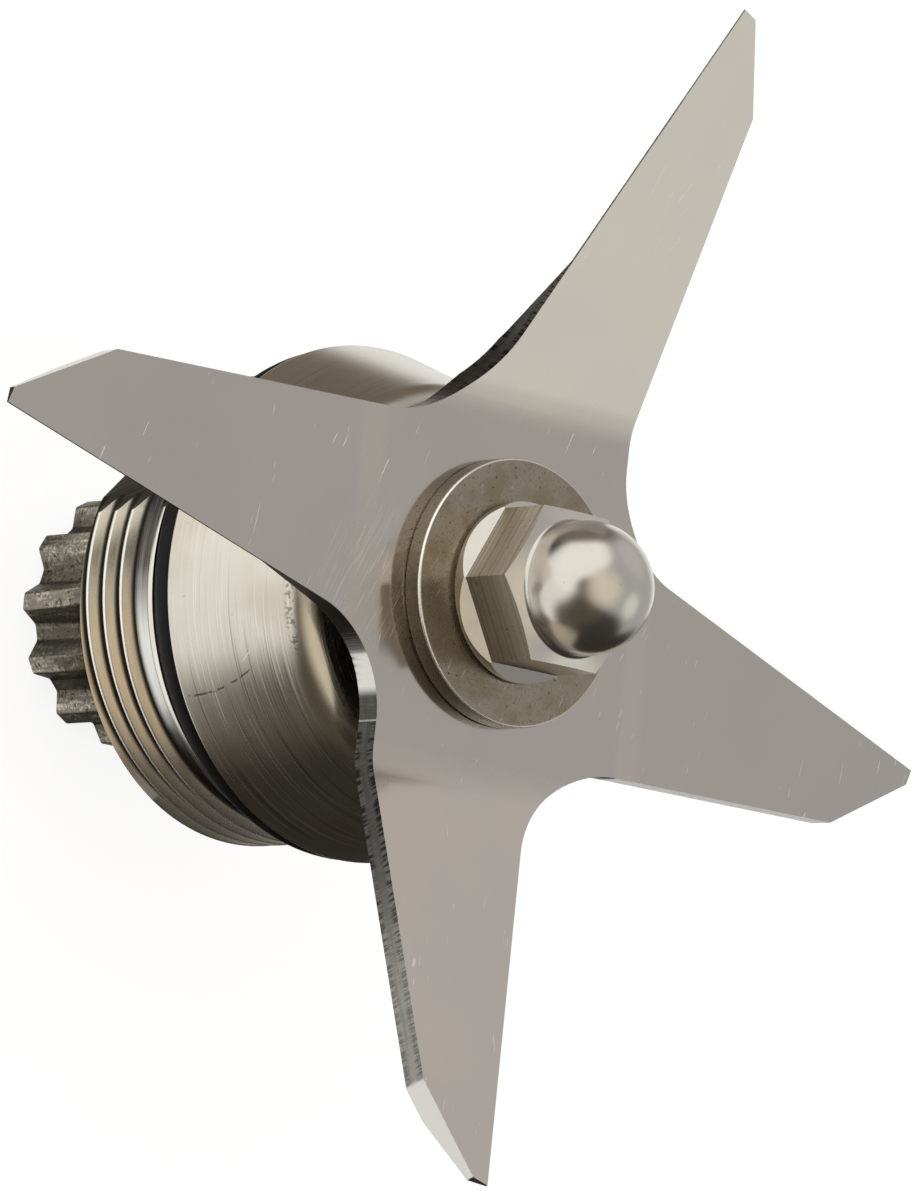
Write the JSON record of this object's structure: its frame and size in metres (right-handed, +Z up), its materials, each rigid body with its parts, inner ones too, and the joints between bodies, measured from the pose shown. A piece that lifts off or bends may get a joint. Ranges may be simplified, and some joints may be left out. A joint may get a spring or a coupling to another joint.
{
  "type": "blender blade assembly",
  "caption": "Blender blade unit: bent steel blade clamped by a washer and domed nut on a shaft that spins in a flanged, threaded bearing housing, driven by a toothed coupling below.",
  "frame": {"origin": "on the axis of rotation, at the drive coupling's lower end face", "axes": "+Z up the shaft towards the domed nut, +X along one of the level blade arms, +Y along a raised arm"},
  "size_m": [0.1036, 0.0992, 0.0639],
  "materials": {
    "housing_steel": "stainless steel with fine turning marks",
    "blade_steel": "stainless sheet, satin with scattered scratches",
    "washer_steel": "stainless steel, tumbled dull with small pits",
    "nut_steel": "stainless steel, polished dome and milled flats",
    "shaft_steel": "ground stainless steel",
    "sintered_iron": "sintered iron, dark and grainy",
    "o_ring_rubber": "black rubber, satin",
    "seal_rubber": "black rubber, matte",
    "spring_steel": "drawn spring wire",
    "spacer_steel": "turned steel",
    "ring_steel": "blackened spring steel",
    "race_steel": "ground and polished bearing steel",
    "ball_steel": "polished bearing steel",
    "shield_steel": "pressed sheet steel",
    "cage_plastic": "moulded natural nylon"
  },
  "bodies": {
    "housing": {"housing": "housing_steel", "o_ring": "o_ring_rubber", "shaft_seal": "seal_rubber", "seal_spring": "spring_steel", "outer_spacer": "spacer_steel", "retaining_ring": "ring_steel", "upper_bearing_outer_race": "race_steel", "upper_bearing_top_shield": "shield_steel", "upper_bearing_bottom_shield": "shield_steel", "lower_bearing_outer_race": "race_steel", "lower_bearing_top_shield": "shield_steel", "lower_bearing_bottom_shield": "shield_steel"},
    "rotor": {"shaft": "shaft_steel", "blade": "blade_steel", "blade_washer": "washer_steel", "cap_nut": "nut_steel", "inner_spacer": "spacer_steel", "coupling_spacer": "spacer_steel", "drive_coupling": "sintered_iron", "upper_bearing_inner_race": "race_steel", "lower_bearing_inner_race": "race_steel"},
    "upper_ball_set": {"upper_bearing_balls": "ball_steel", "upper_bearing_cage": "cage_plastic"},
    "lower_ball_set": {"lower_bearing_balls": "ball_steel", "lower_bearing_cage": "cage_plastic"}
  },
  "joints": [
    {"name": "blade_spin", "type": "hinge", "parent": "housing", "child": "rotor", "pos_m": [0, 0, 0.0336], "axis": [0, 0, 1], "continuous": true},
    {"name": "upper_ball_orbit", "type": "hinge", "parent": "housing", "child": "upper_ball_set", "pos_m": [0, 0, 0.0336], "axis": [0, 0, 1], "continuous": true},
    {"name": "lower_ball_orbit", "type": "hinge", "parent": "housing", "child": "lower_ball_set", "pos_m": [0, 0, 0.0336], "axis": [0, 0, 1], "continuous": true}
  ],
  "couplings": [
    {"joint": "upper_ball_orbit", "follows": "blade_spin", "ratio": 0.37496},
    {"joint": "lower_ball_orbit", "follows": "blade_spin", "ratio": 0.37496}
  ]
}
